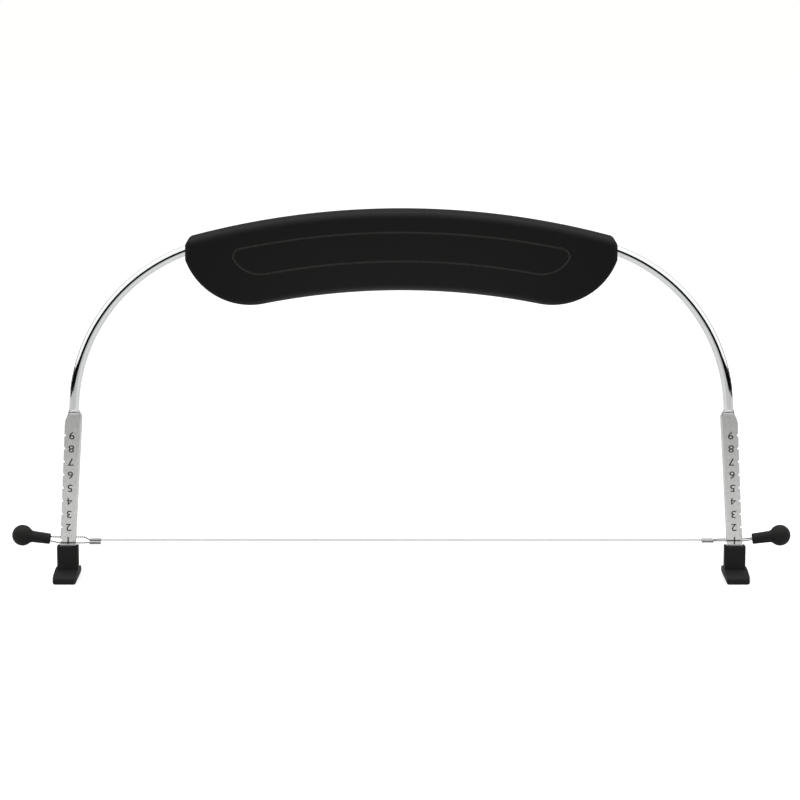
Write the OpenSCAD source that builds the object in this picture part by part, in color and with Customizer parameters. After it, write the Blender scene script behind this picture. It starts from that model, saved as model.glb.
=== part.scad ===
// Cake leveler: a bent steel bow with a moulded grip, two rubber feet and a cutting wire
// that is hooked round the legs in one of nine pairs of notches.
// The origin lies on the table, midway between the feet. +X runs along the wire, +Y points
// to the back and +Z points up.

/* [Bow] */
// Clear width between the legs at the lowest notch
cut_width = 254; // [220:1:300]
// Angle by which each leg leans outwards
leg_splay = 3.5; // [2:0.5:5]
// Diameter of the round rod
rod_d = 4; // [3.6:0.1:4.4]
// Height of the rod's centre line at the middle of the bow
bow_rise = 137.8; // [128:0.1:150]
// Radius of the flat crown that lies inside the grip
crown_r = 470; // [420:10:700]
// Radius of the two bends
bend_r = 67.3; // [60:0.1:72]

/* [Legs] */
// Height at which the round rod starts to flatten
shoulder_z = 67.5; // [66:0.5:69]
// Length over which the dies squeeze the rod down to the blade's thickness
die_len = 2; // [1.5:0.5:3]
// Length of the shoulder on the leg's inner side
inner_shoulder_len = 2.5; // [2:0.5:5]
// Length of the shoulder on the leg's outer side
outer_shoulder_len = 6.5; // [5:0.5:8]
// Width of the blade under its shoulders
blade_top_w = 6.9; // [6.5:0.1:8]
// Width of the blade at its tip
blade_tip_w = 6.1; // [5:0.1:6.4]
// Thickness of the blade
blade_t = 1.5; // [1.2:0.1:2]
// Squareness of the blade's edges, from 2 for round to 20 for sharp
blade_square = 12; // [6:1:20]
// Height of the blade's tip, inside the foot
tip_z = 2.2; // [1.5:0.1:4]

/* [Notches] */
// Number of notches in each leg
notch_count = 9; // [5:1:9]
// Height of the lowest notch
notch_z = 15.4; // [15.2:0.1:17]
// Rise from one notch to the next
notch_pitch = 5.2; // [4:0.1:5.6]
// Width of the mouth of a notch
notch_w = 1.2; // [0.8:0.1:1.6]
// Depth of a notch
notch_depth = 0.7; // [0.5:0.1:1]

/* [Grip] */
// Length of the grip
grip_len = 165.4; // [150:0.1:170]
// Height of the grip at its middle
grip_h = 30; // [28:0.5:36]
// Depth of the grip from front to back
grip_depth = 20; // [16:0.5:26]
// Height of the grip above the rod's centre line
grip_cover = 7; // [6:0.5:9]
// Radius of the grip's top line
grip_top_r = 315; // [300:1:330]
// Radius of the grip's hollow underside
grip_under_r = 270; // [250:1:300]
// Radius of the lobe at each end
lobe_r = 26.4; // [24:0.1:28]
// Length by which the end face cuts into the lobe
lobe_cut = 1.6; // [1:0.1:3]
// Radius of the upper corner, seen from the front
corner_r = 2.8; // [2.6:0.1:5]
// Radius of the edges round the front and the back
edge_r = 2.5; // [2:0.1:2.7]
// Wall of the moulded shells
grip_wall = 2.2; // [1.6:0.1:2.4]

/* [Grip inside] */
// Thickness of the cross ribs that cradle the rod
rib_t = 1.6; // [1:0.1:2.5]
// Distance between neighbouring ribs
rib_gap = 28; // [24:0.5:30]
// Diameter of the locating pins
pin_d = 3; // [2:0.1:4]
// Length of pin that stands in its socket
pin_grip = 4; // [2:0.5:5]
// Wall round a socket
socket_wall = 1.5; // [1:0.1:2]
// Height of the pins above the grip's underside
pin_rise = 9; // [8:0.5:10]

/* [Grip panel] */
// Distance from the top line down to the panel line
panel_drop = 7.5; // [5:0.5:9]
// Distance from the underside up to the panel line
panel_lift = 11.4; // [10:0.1:12.5]
// Length of the panel
panel_len = 128.4; // [110:0.1:132]
// Radius of the panel's lower corners
panel_lobe_r = 8; // [5:0.5:8]
// Radius of the panel's upper corners
panel_corner_r = 1.5; // [1:0.1:1.6]
// Width of the groove round the panel
groove_w = 0.8; // [0.4:0.1:1.2]
// Depth of the groove
groove_depth = 0.5; // [0.3:0.1:0.8]

/* [Feet] */
// Width of the block that holds the leg
foot_block_w = 8.4; // [8.2:0.1:10]
// Depth of the block from front to back
foot_block_d = 5.4; // [4.5:0.1:7]
// Height of the foot
foot_h = 13.1; // [11:0.1:13.3]
// Width of the sole
sole_w = 9; // [8.8:0.1:12]
// Length of the sole from front to back
sole_len = 22; // [18:0.5:28]
// Thickness of the sole at its ends
sole_edge = 3.2; // [2.5:0.1:3.6]
// Thickness of the sole beside the block
sole_mid = 4.1; // [3.7:0.1:5]
// Radius of the block's upright corners
foot_block_r = 0.8; // [0.4:0.1:1.2]
// Radius of the sole's corners, seen from above
sole_r = 1.2; // [0.6:0.1:2]
// Radius of the nose over the front and the back of the sole
sole_nose_r = 2.2; // [1:0.1:2.4]
// Radius along the lower edges of the sole's sides
sole_side_r = 1; // [0.5:0.1:1.4]

/* [Cutting wire] */
// Diameter of the twisted cutting wire
wire_d = 0.6; // [0.5:0.05:0.8]
// Diameter of a strand of the eyes
strand_d = 0.55; // [0.45:0.05:0.6]
// Turn of the left eye about the wire
left_turn = 40; // [0:1:45]
// Turn of the right eye about the wire
right_turn = 5; // [0:1:45]
// Length over which the strands spread to pass the leg
spread_len = 2.2; // [1.5:0.1:3]
// Length of a crimped ferrule
ferrule_len = 4.4; // [4:0.1:6]
// Wall of a ferrule round its strands
ferrule_wall = 0.4; // [0.3:0.05:0.6]
// Distance between the middles of a ferrule's two barrels
barrel_gap = 1.3; // [1.2:0.05:1.4]
// Radius of the waist between the barrels
waist_r = 0.4; // [0.2:0.05:0.6]
// Length of wire and of strand that the ferrule holds
crimp_len = 1.9; // [1:0.1:2]

/* [Knobs] */
// Diameter of the ball
ball_d = 8.2; // [7:0.1:10]
// Diameter of the neck at its open end
neck_d = 4.2; // [4:0.1:5]
// Diameter of the neck where it meets the ball
neck_root_d = 4.5; // [4:0.1:5.5]
// Distance from the neck's open end to the ball's centre
neck_len = 10.9; // [9.5:0.1:13]
// Radius of the fillet between neck and ball
neck_fillet = 2; // [1:0.1:3]
// Gap between a leg and the neck
neck_gap = 3.9; // [3:0.1:5]
// Angle by which the knobs point up
knob_lift = 7.5; // [0:0.5:10]
// Half of the distance between the strands inside the neck
hairpin_r = 1.05; // [0.9:0.05:1.1]
// Length of hairpin that the knob holds
hairpin_len = 5.5; // [4:0.1:6.5]

/* [Fits] */
// Play of the rod and the pins in the moulded shells, on the radius
mould_fit = 0.05; // [0.03:0.01:0.1]
// Play of the leg in its foot, on each side
foot_fit = 0.05; // [0.03:0.01:0.1]
// Play of wire and strands in ferrules and knobs, on the radius
wire_fit = 0.02; // [0.01:0.01:0.05]
// Running clearance between the strands and the leg's faces
eye_clear = 0.1; // [0.08:0.01:0.2]
// Clearance between the spread of the strands and the leg's edges
edge_clear = 0.2; // [0.15:0.01:0.3]

/* [Hidden] */
$fn = 64;
// Overlap for joins and cuts
eps = 0.3;
// Facets of the bow's skin
crown_steps = 8;
bend_steps = 16;
shoulder_steps = 13;
bow_sides = 20;
// Facets of a strand, of the grip's outline and of its edges
strand_sides = 12;
top_steps = 24;
under_steps = 20;
lobe_steps = 6;
corner_steps = 4;
edge_steps = 4;
chrome = "#c9ccce";
rubber = "#1c1c1c";
plastic = "#202020";

// A leg's middle line, and the blade's half width, at a height above the table
flat_z = shoulder_z - outer_shoulder_len;
function half_w(z) =
    (blade_tip_w + (blade_top_w - blade_tip_w) * (z - tip_z) / (flat_z - tip_z)) / 2;
function leg_x(z) = cut_width / 2 + half_w(notch_z) / cos(leg_splay)
                    + (notch_z - z) * tan(leg_splay);
function inner_x(z) = leg_x(z) - half_w(z) / cos(leg_splay);
function outer_x(z) = leg_x(z) + half_w(z) / cos(leg_splay);

// The bend is tangent to the crown and to the leg's line
crown_cz = bow_rise - crown_r;
reach = leg_x(0) * cos(leg_splay) - bend_r - crown_cz * sin(leg_splay);
climb = sqrt(pow(crown_r - bend_r, 2) - pow(reach, 2));
bend_cx = reach * cos(leg_splay) - climb * sin(leg_splay);
bend_cz = crown_cz + reach * sin(leg_splay) + climb * cos(leg_splay);
crown_a = atan2(bend_cx, bend_cz - crown_cz);
leg_top = [bend_cx + bend_r * cos(leg_splay), 0, bend_cz + bend_r * sin(leg_splay)];

// Lengths down the leg, from the end of the bend
blade_at = (leg_top[2] - flat_z) / cos(leg_splay);
tip_at = (leg_top[2] - tip_z) / cos(leg_splay);

// Heights of the notches
function notch_height(i) = notch_z + i * notch_pitch;
wire_top_z = notch_height(notch_count - 1);

// The grip's outline: its arcs and the centres that they are struck from
grip_top_z = bow_rise + grip_cover;
grip_under_z = grip_top_z - grip_h;
top_cz = grip_top_z - grip_top_r;
under_cz = grip_under_z - grip_under_r;
half_depth = grip_depth / 2;
// Length of rod seat that runs out past the grip, so that it cuts clean through
seat_run = 16;
// Places of the locating pins, as shares of half the grip
pin_places = [-0.75, -0.25, 0.25, 0.75];

// Points on an arc about a centre, from one angle to another, in n steps
function arc(cx, cz, r, from, to, n) =
    [for (i = [0:n]) let (a = from + (to - from) * i / n) [cx + r * cos(a), cz + r * sin(a)]];

// A bean outline, inset by d: the top line from left to right, then the underside back.
// half: half length; top and under: radii of the two long arcs; lobe: radius of the lower
// ends, cut by the upright end face; corner: radius of the upper corners.
function bean(d, half, top, under, lobe, cut, corner) =
    let (kx = half - corner,
         kz = top_cz + sqrt(pow(top - corner, 2) - pow(kx, 2)),
         top_a = atan2(kx, kz - top_cz),
         lx = half + cut - lobe,
         lz = under_cz + sqrt(pow(under + lobe, 2) - pow(lx, 2)),
         under_a = atan2(lx, lz - under_cz),
         end_a = acos(min(1, (half - d - lx) / (lobe - d))))
    concat(arc(-kx, kz, corner - d, 180, 90 + top_a, corner_steps),
           [for (i = [1:top_steps - 1]) let (a = 90 + top_a - 2 * top_a * i / top_steps)
               [(top - d) * cos(a), top_cz + (top - d) * sin(a)]],
           arc(kx, kz, corner - d, 90 - top_a, 0, corner_steps),
           arc(lx, lz, lobe - d, -end_a, -90 - under_a, lobe_steps),
           [for (i = [1:under_steps - 1])
               let (a = 90 - under_a + 2 * under_a * i / under_steps)
               [(under + d) * cos(a), under_cz + (under + d) * sin(a)]],
           arc(-lx, lz, lobe - d, -90 + under_a, -180 + end_a, lobe_steps));

function grip_outline(d) =
    bean(d, grip_len / 2, grip_top_r, grip_under_r, lobe_r, lobe_cut, corner_r);
function panel_outline(d) =
    bean(d, panel_len / 2, grip_top_r - panel_drop, grip_under_r + panel_lift,
         panel_lobe_r, 0, panel_corner_r);

// Rings of the shell: up the outside, round the edge to the face, then the hollow inside
outer_rings = concat([[0, 0]],
    [for (i = [0:edge_steps]) let (a = 90 * i / edge_steps)
        [edge_r * (1 - cos(a)), half_depth - edge_r + edge_r * sin(a)]]);
inner_rings = [[grip_wall, 0], [grip_wall, half_depth - grip_wall]];

// Where the strands pass the leg, and where ferrules and knobs start
spread_x = inner_x(wire_top_z) - edge_clear;
ferrule_x = spread_x - spread_len;
strand_r = strand_d / 2;
wire_r = wire_d / 2;
past_leg_x = outer_x(notch_z) + edge_clear;
neck_x = outer_x(notch_z) + neck_gap;
// Share of the way from the leg to the knob at which the strands lie side by side again
strand_meet = 0.8;
function eye_half(turn) = (blade_t / 2 + strand_r + eye_clear) / cos(turn);

// The knob's profile: the fillet's centre touches both neck and ball
ball_r = ball_d / 2;
fillet_y = neck_root_d / 2 + neck_fillet;
fillet_x = neck_len - sqrt(pow(ball_r + neck_fillet, 2) - pow(fillet_y, 2));
fillet_a = atan2(fillet_y, neck_len - fillet_x);
knob_bore_r = hairpin_r + strand_r + wire_fit;

// A vector's direction; a point on the path's end has none on one side
function unit_of(v) = norm(v) > 0 ? v / norm(v) : v;

// The faces of a closed skin through n rings of m points
function tube_faces(n, m) = concat(
    [for (i = [0:n - 2]) for (k = [0:m - 1]) let (o = (k + 1) % m)
        [i * m + k, (i + 1) * m + k, (i + 1) * m + o, i * m + o]],
    [[for (k = [0:m - 1]) k], [for (k = [0:m - 1]) n * m - 1 - k]]);

// A strand swept along points. Its rings stand across the path, and up is the normal of
// the plane in which the path mostly lies.
module strand(points, up) {
    n = len(points);
    rings = [for (i = [0:n - 1])
        let (ahead = points[min(i + 1, n - 1)] - points[i],
             behind = points[i] - points[max(i - 1, 0)],
             along = unit_of(unit_of(ahead) + unit_of(behind)),
             across = unit_of(cross(up, along)),
             over = cross(along, across))
        for (k = [0:strand_sides - 1]) let (a = 360 * k / strand_sides)
            points[i] + strand_r * (cos(a) * across + sin(a) * over)];
    polyhedron(rings, tube_faces(n, strand_sides));
}

// The right leg's own frame: its origin ends the bend and -Z runs down the leg
module at_leg() {
    translate(leg_top) rotate([0, -leg_splay, 0]) children();
}

// The blade's outline, grown by a fit for the socket that it stands in
module blade(grow) {
    top = half_w(flat_z) + grow;
    tip = half_w(tip_z) + grow;
    rotate([90, 0, 0])
        linear_extrude(blade_t + 2 * grow, center = true)
            polygon([[-top, -blade_at], [top, -blade_at], [tip, -tip_at - grow],
                     [-tip, -tip_at - grow]]);
}

// How far the rod is pressed at a height, from 0 for round to 1, if pressing takes a length
function pressed(z, length) = let (t = min(1, (shoulder_z - z) / length)) t * t * (3 - 2 * t);
function pressed_half_w(z, length) =
    rod_d / 2 + (half_w(z) - rod_d / 2) * pressed(z, length);

// Stations along half of the bow, from the middle down to the tip: the place, and the
// width, the thickness, the squareness and the inward shift of the bar there. The metal
// spreads sooner on a leg's inner side than on its outer side.
function bow_stations() = concat(
    [for (i = [1:crown_steps]) let (a = 90 - crown_a * (i - 0.5) / crown_steps)
        [[crown_r * cos(a), crown_cz + crown_r * sin(a)], rod_d, rod_d, 2, 0]],
    [for (i = [0:bend_steps])
        let (a = 90 - crown_a - (90 - crown_a - leg_splay) * i / bend_steps)
        [[bend_cx + bend_r * cos(a), bend_cz + bend_r * sin(a)], rod_d, rod_d, 2, 0]],
    [for (i = [0:shoulder_steps])
        let (z = shoulder_z - outer_shoulder_len * i / shoulder_steps,
             flat = pressed(z, die_len),
             inner = pressed_half_w(z, inner_shoulder_len),
             outer = pressed_half_w(z, outer_shoulder_len))
        [[leg_x(z), z], inner + outer, rod_d + (blade_t - rod_d) * flat,
         2 + (blade_square - 2) * flat, (inner - outer) / 2]],
    [[[leg_x(tip_z), tip_z], blade_tip_w, blade_t, blade_square, 0]]);

// A bar's outline at a station: a circle when round, nearly a rectangle when pressed flat
function bar_outline(w, t, square) =
    [for (k = [0:bow_sides - 1])
        let (a = 360 * (k + 0.5) / bow_sides, c = cos(a), s = sin(a))
        [w / 2 * sign(c) * pow(abs(c), 2 / square), t / 2 * sign(s) * pow(abs(s), 2 / square)]];

// One closed skin swept in the XZ plane through half a row of stations and its mirror image
module swept_bar(half, grow) {
    count = len(half);
    stations = concat([for (i = [count - 1:-1:0]) [[-half[i][0][0], half[i][0][1]], half[i][1],
                                                  half[i][2], half[i][3], half[i][4]]], half);
    n = 2 * count;
    rings = [for (i = [0:n - 1])
        let (p = stations[i][0],
             ahead = stations[min(i + 1, n - 1)][0] - stations[max(i - 1, 0)][0],
             along = unit_of(ahead),
             outline = bar_outline(stations[i][1] + 2 * grow, stations[i][2] + 2 * grow,
                                   stations[i][3]))
        for (q = outline) let (inward = q[0] + stations[i][4])
            [p[0] + inward * along[1], q[1], p[1] - inward * along[0]]];
    polyhedron(rings, tube_faces(n, bow_sides));
}

// The seat of the rod in the grip, which runs out past both ends
module rod_seat() {
    swept_bar([for (s = bow_stations()) if (s[0][0] < grip_len / 2 + seat_run) s], mould_fit);
}

// The notches of the right leg, cut into its outer edge
module leg_notches() {
    for (i = [0:notch_count - 1]) {
        z = notch_height(i);
        translate([outer_x(z) - notch_depth + notch_w / 2, 0, z])
            rotate([90, 0, 0])
                cylinder(d = notch_w, h = 2 * blade_t, center = true, $fn = 32);
    }
}

module bow_frame() {
    color(chrome)
        difference() {
            swept_bar(bow_stations(), 0);
            leg_notches();
            mirror([1, 0, 0]) leg_notches();
        }
}

// A moulded shell as one closed skin. It opens downwards at z = 0, and its outline lies
// in the XY plane.
module shell_skin() {
    rings = concat(outer_rings, inner_rings);
    points = [for (ring = rings) for (p = grip_outline(ring[0])) [p[0], p[1], ring[1]]];
    n = len(grip_outline(0));
    last = len(outer_rings) - 1;
    inside = last + 1;
    walls = [for (k = [0:last - 1]) for (i = [0:n - 1]) let (j = (i + 1) % n)
        [k * n + i, k * n + j, (k + 1) * n + j, (k + 1) * n + i]];
    face = [for (i = [0:n / 2 - 2])
        [last * n + i, last * n + i + 1, last * n + n - 2 - i, last * n + n - 1 - i]];
    hollow = [for (i = [0:n - 1]) let (j = (i + 1) % n)
        [inside * n + i, (inside + 1) * n + i, (inside + 1) * n + j, inside * n + j]];
    ceiling = [for (i = [0:n / 2 - 2]) let (o = (inside + 1) * n)
        [o + n - 1 - i, o + n - 2 - i, o + i + 1, o + i]];
    rim = [for (i = [0:n - 1]) let (j = (i + 1) % n)
        [i, inside * n + i, inside * n + j, j]];
    polyhedron(points, concat(walls, face, hollow, ceiling, rim));
}

// What fills the hollow of a shell, cut to the hollow's outline
module in_hollow() {
    intersection() {
        linear_extrude(half_depth - grip_wall + eps) polygon(grip_outline(grip_wall - eps));
        children();
    }
}

// Places of the locating pins, above the hollow underside
module at_pins() {
    for (x = pin_places * grip_len / 2)
        translate([x, under_cz + sqrt(pow(grip_under_r + pin_rise, 2) - pow(x, 2)), 0])
            children();
}

// The groove round the panel on a shell's face
module panel_groove() {
    translate([0, 0, half_depth - groove_depth])
        linear_extrude(2 * groove_depth)
            difference() {
                polygon(panel_outline(-groove_w / 2));
                polygon(panel_outline(groove_w / 2));
            }
}

// A shell with its ribs, the seat of the rod and the panel groove
module shell_body() {
    difference() {
        union() {
            shell_skin();
            in_hollow() {
                for (i = [-2:2])
                    translate([i * rib_gap - rib_t / 2, grip_under_z - grip_h, mould_fit])
                        cube([rib_t, 3 * grip_h, half_depth]);
            }
            in_hollow() {
                at_pins()
                    translate([0, 0, mould_fit])
                        cylinder(d = pin_d + 2 * socket_wall, h = half_depth);
            }
        }
        rotate([-90, 0, 0]) rod_seat();
        panel_groove();
    }
}

module handle_front() {
    color(plastic)
        rotate([90, 0, 0])
            difference() {
                shell_body();
                at_pins()
                    translate([0, 0, -mould_fit])
                        cylinder(d = pin_d + 2 * mould_fit, h = pin_grip + 3 * mould_fit);
            }
}

module handle_rear() {
    color(plastic)
        mirror([0, 1, 0])
            rotate([90, 0, 0]) {
                shell_body();
                at_pins()
                    translate([0, 0, -pin_grip])
                        cylinder(d = pin_d, h = pin_grip + half_depth - grip_wall + eps);
            }
}

// A rectangle with round corners, centred
module round_rect(w, d, r) {
    square([w, d - 2 * r], center = true);
    square([w - 2 * r, d], center = true);
    for (x = [-1, 1], y = [-1, 1])
        translate([x * (w / 2 - r), y * (d / 2 - r)]) circle(r = r, $fn = 32);
}

// An outline with its outward corners rounded
module rounded(r) {
    offset(r = r, $fn = 32) offset(delta = -r) children();
}

// The right foot: a long sole that slopes up to the block, with the leg's socket in it.
// The sole's front and back are round noses, and its sides are rounded along the table.
module foot() {
    color(rubber)
        difference() {
            union() {
                translate([leg_x(foot_h), 0, 0])
                    linear_extrude(foot_h) round_rect(foot_block_w, foot_block_d, foot_block_r);
                translate([leg_x(sole_mid), 0, 0])
                    intersection() {
                        linear_extrude(sole_mid) round_rect(sole_w, sole_len, sole_r);
                        rotate([90, 0, 90])
                            linear_extrude(2 * sole_w, center = true)
                                rounded(sole_nose_r)
                                    polygon([[-sole_len / 2, -sole_nose_r],
                                             [sole_len / 2, -sole_nose_r],
                                             [sole_len / 2, sole_edge],
                                             [foot_block_d / 2, sole_mid],
                                             [-foot_block_d / 2, sole_mid],
                                             [-sole_len / 2, sole_edge]]);
                        rotate([90, 0, 0])
                            linear_extrude(2 * sole_len, center = true)
                                rounded(sole_side_r)
                                    translate([-sole_w / 2, 0]) square([sole_w, 2 * sole_mid]);
                    }
            }
            at_leg() blade(foot_fit);
        }
}

module left_foot() { mirror([1, 0, 0]) foot(); }
module right_foot() { foot(); }

module cutting_wire() {
    end_x = ferrule_x - ferrule_len + crimp_len;
    color(chrome)
        translate([-end_x, 0, notch_z])
            rotate([0, 90, 0]) cylinder(r = wire_r, h = 2 * end_x);
}

// Two rounds seen along the wire: one on its line, and one round the strand in front of it
module barrels(r) {
    circle(r = r);
    translate([0, -barrel_gap]) circle(r = r);
}

// The right ferrule: a sleeve of two barrels with a waist between them. The wire goes
// through the first, and the strand that comes back from the leg ends in the second.
module ferrule(turn) {
    sleeve_r = max(strand_r, wire_r) + wire_fit + ferrule_wall;
    color(chrome)
        translate([ferrule_x, 0, notch_z])
            rotate([turn, 0, 0])
                rotate([0, -90, 0])
                    difference() {
                        linear_extrude(ferrule_len)
                            offset(r = -waist_r) offset(r = waist_r) barrels(sleeve_r);
                        translate([0, 0, -eps])
                            linear_extrude(crimp_len + eps) barrels(strand_r + wire_fit);
                        translate([0, 0, ferrule_len - crimp_len])
                            cylinder(r = wire_r + wire_fit, h = crimp_len + eps);
                    }
}

module left_ferrule() { mirror([1, 0, 0]) ferrule(left_turn); }
module right_ferrule() { ferrule(right_turn); }

// The knob's own frame: its origin is where the strands bend up, and X runs along the neck
module at_knob(turn) {
    translate([past_leg_x, 0, notch_z]) rotate([0, -knob_lift, 0]) rotate([turn, 0, 0])
        children();
}

// A point x along the neck and v across it, in the part's frame
function knob_point(x, v, turn) =
    let (z = v * sin(turn))
    [past_leg_x + x * cos(knob_lift) - z * sin(knob_lift), v * cos(turn),
     notch_z + x * sin(knob_lift) + z * cos(knob_lift)];

// A point of the eye's flat part, v away from the wire's line
function eye_point(x, v, turn) = [x, v * cos(turn), notch_z + v * sin(turn)];

// The right eye is one strand: it leaves the ferrule on the wire's line, passes the leg's
// back face, turns in a hairpin inside the knob, and comes back past the front face
module wire_eye(turn) {
    half = eye_half(turn);
    neck_at = (neck_x - past_leg_x) * strand_meet;
    hairpin_at = neck_x - past_leg_x + hairpin_len - hairpin_r - strand_r;
    inner_end = ferrule_x - crimp_len + 2 * wire_fit;
    out = [[inner_end, 0], [ferrule_x, 0], [spread_x, half], [past_leg_x, half]];
    back = [[past_leg_x, -half], [spread_x, -half], [ferrule_x, -barrel_gap],
            [inner_end, -barrel_gap]];
    bend = [for (a = [90:-20:-90]) [hairpin_at + hairpin_r * cos(a), hairpin_r * sin(a)]];
    route = concat(
        [for (p = out) eye_point(p[0], p[1], turn)],
        [knob_point(neck_at, hairpin_r, turn)],
        [for (p = bend) knob_point(p[0], p[1], turn)],
        [knob_point(neck_at, -hairpin_r, turn)],
        [for (p = back) eye_point(p[0], p[1], turn)]);
    color(chrome) strand(route, [0, -sin(turn), cos(turn)]);
}

module left_wire_eye() { mirror([1, 0, 0]) wire_eye(left_turn); }
module right_wire_eye() { wire_eye(right_turn); }

// The right knob: a ball on a bored neck, revolved about the neck's line
module knob(turn) {
    fillet = [for (i = [0:6]) let (a = -90 + fillet_a * i / 6)
        [fillet_x + neck_fillet * cos(a), fillet_y + neck_fillet * sin(a)]];
    color(rubber)
        at_knob(turn)
            translate([neck_x - past_leg_x, 0, 0])
                rotate([0, 90, 0])
                    difference() {
                        union() {
                            rotate_extrude()
                                polygon(concat([[0, 0], [neck_d / 2, 0]],
                                    [for (p = fillet) [p[1], p[0]]], [[0, neck_len]]));
                            translate([0, 0, neck_len]) sphere(r = ball_r);
                        }
                        translate([0, 0, -eps])
                            cylinder(r = knob_bore_r, h = hairpin_len + eps + wire_fit);
                    }
}

module left_knob() { mirror([1, 0, 0]) knob(left_turn); }
module right_knob() { knob(right_turn); }

bow_frame();
handle_front();
handle_rear();
left_foot();
right_foot();
cutting_wire();
left_ferrule();
right_ferrule();
left_wire_eye();
right_wire_eye();
left_knob();
right_knob();
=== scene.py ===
# %% [markdown]
# # Cake leveler
# A cake leveler cuts a cake into flat layers. A bow of bent steel rod holds a thin twisted
# wire taut between two flat legs, and notches in the legs set the height of the cut. The CAD
# model already has every part at its real size and place. This lesson models each part again
# with finer edges, gives it its finish, and lights it as in a small product studio.

# %% Load the CAD model
import math

import bmesh
import bpy
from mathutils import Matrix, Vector


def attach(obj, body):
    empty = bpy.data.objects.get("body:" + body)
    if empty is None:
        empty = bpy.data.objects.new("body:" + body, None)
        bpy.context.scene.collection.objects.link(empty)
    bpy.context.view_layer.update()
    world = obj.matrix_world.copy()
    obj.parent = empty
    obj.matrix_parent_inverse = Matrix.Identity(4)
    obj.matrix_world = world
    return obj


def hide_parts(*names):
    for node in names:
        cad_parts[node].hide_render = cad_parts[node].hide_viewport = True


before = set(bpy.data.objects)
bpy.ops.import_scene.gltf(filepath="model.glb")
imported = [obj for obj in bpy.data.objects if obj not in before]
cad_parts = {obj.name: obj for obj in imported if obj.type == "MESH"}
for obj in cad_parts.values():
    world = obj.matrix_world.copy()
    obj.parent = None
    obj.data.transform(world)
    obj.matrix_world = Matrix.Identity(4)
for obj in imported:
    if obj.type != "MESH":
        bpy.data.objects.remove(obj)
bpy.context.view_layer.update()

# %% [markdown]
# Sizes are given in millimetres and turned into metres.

MM = 0.001
HAIR = 0.01 * MM  # places closer than this count as one

# %% [markdown]
# ## Working by hand, in code
# Every piece starts from a primitive that is shaped in edit mode. An operator acts on all that
# is selected, so these helpers first clear the selection, and then pick vertices or faces by
# where they are. A fresh primitive has its place applied at once, so that its vertices are in
# the same frame as the CAD parts.

# %% Helpers for taking up a piece


def clear_selection():
    """Back to object mode, with nothing selected."""
    if bpy.context.object and bpy.context.object.mode != "OBJECT":
        bpy.ops.object.mode_set(mode="OBJECT")
    bpy.ops.object.select_all(action="DESELECT")


def take_up(piece):
    """Selects one piece alone, in object mode, and makes it the active one."""
    clear_selection()
    piece.select_set(True)
    bpy.context.view_layer.objects.active = piece


def settle(piece):
    """Moves a piece's place into its mesh, so that the object sits at the origin."""
    take_up(piece)
    bpy.ops.object.transform_apply(location=True, rotation=True, scale=True)
    return piece


def started(name):
    """Names the primitive that was just added, and settles it."""
    piece = bpy.context.object
    piece.name = name
    piece.data.name = name
    return settle(piece)


def edit(piece):
    """Enters edit mode on one piece, with nothing selected in it."""
    take_up(piece)
    bpy.ops.object.mode_set(mode="EDIT")
    bpy.ops.mesh.select_mode(type="VERT")
    bpy.ops.mesh.select_all(action="DESELECT")


# %% Helpers for picking


def pick_verts(test):
    """Selects the vertices whose place passes the test."""
    mesh = bpy.context.object.data
    shape = bmesh.from_edit_mesh(mesh)
    for vert in shape.verts:
        vert.select_set(bool(test(vert.co)))
    shape.select_flush_mode()
    bmesh.update_edit_mesh(mesh)


def pick_faces(test):
    """Selects the faces that pass the test, which gets each face's centre and normal."""
    bpy.ops.mesh.select_all(action="DESELECT")
    mesh = bpy.context.object.data
    shape = bmesh.from_edit_mesh(mesh)
    shape.normal_update()
    for face in [f for f in shape.faces if test(f.calc_center_median(), f.normal)]:
        face.select_set(True)
    bmesh.update_edit_mesh(mesh)


def pick_edges(test):
    """Selects the edges that pass the test, which gets the places of both ends."""
    bpy.ops.mesh.select_all(action="DESELECT")
    mesh = bpy.context.object.data
    shape = bmesh.from_edit_mesh(mesh)
    for edge in [e for e in shape.edges if test(*[vert.co for vert in e.verts])]:
        edge.select_set(True)
    bmesh.update_edit_mesh(mesh)


def upright(a, b):
    """Whether an edge stands upright."""
    return abs(a.z - b.z) > 0.5 * MM and (a - b).xy.length < HAIR


def centre_of_picked():
    """The middle of the selected vertices."""
    shape = bmesh.from_edit_mesh(bpy.context.object.data)
    places = [vert.co.copy() for vert in shape.verts if vert.select]
    return sum(places, Vector()) / len(places)


# %% [markdown]
# Modifiers do what would take many operators: they mirror, bevel, bend and cut. Each is
# applied at once, so that the finished piece is a plain mesh. After a cut or a mirror some
# vertices lie twice in one place and some faces may be turned, so the skin is tidied.

# %% Helpers for shaping


def extrude(x, y, z):
    """Extrudes what is selected by a step."""
    bpy.ops.mesh.extrude_region_move(TRANSFORM_OT_translate={"value": (x, y, z)})


def apply_modifier(piece, kind, **settings):
    """Adds a modifier with these settings, and applies it."""
    take_up(piece)
    modifier = piece.modifiers.new(kind.title(), kind)
    for key, value in settings.items():
        setattr(modifier, key, value)
    bpy.ops.object.modifier_apply(modifier=modifier.name)


def mirror_halves(piece):
    """Adds the left half to the right half, and merges them where they meet."""
    apply_modifier(piece, "MIRROR", use_axis=(True, False, False), merge_threshold=HAIR)


def cut(piece, cutter, operation="DIFFERENCE", materials="INDEX", solver="EXACT"):
    """Cuts the cutter out of a piece, or joins it on, and removes the cutter."""
    apply_modifier(piece, "BOOLEAN", object=cutter, operation=operation, solver=solver,
                   material_mode=materials)
    bpy.data.objects.remove(cutter)


def joined(name, pieces):
    """Joins several pieces into one."""
    clear_selection()
    for piece in pieces:
        piece.select_set(True)
    bpy.context.view_layer.objects.active = pieces[0]
    bpy.ops.object.join()
    pieces[0].name = name
    pieces[0].data.name = name
    return pieces[0]


# %% Helpers for finishing a piece
DOUBLED = 0.002 * MM


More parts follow.
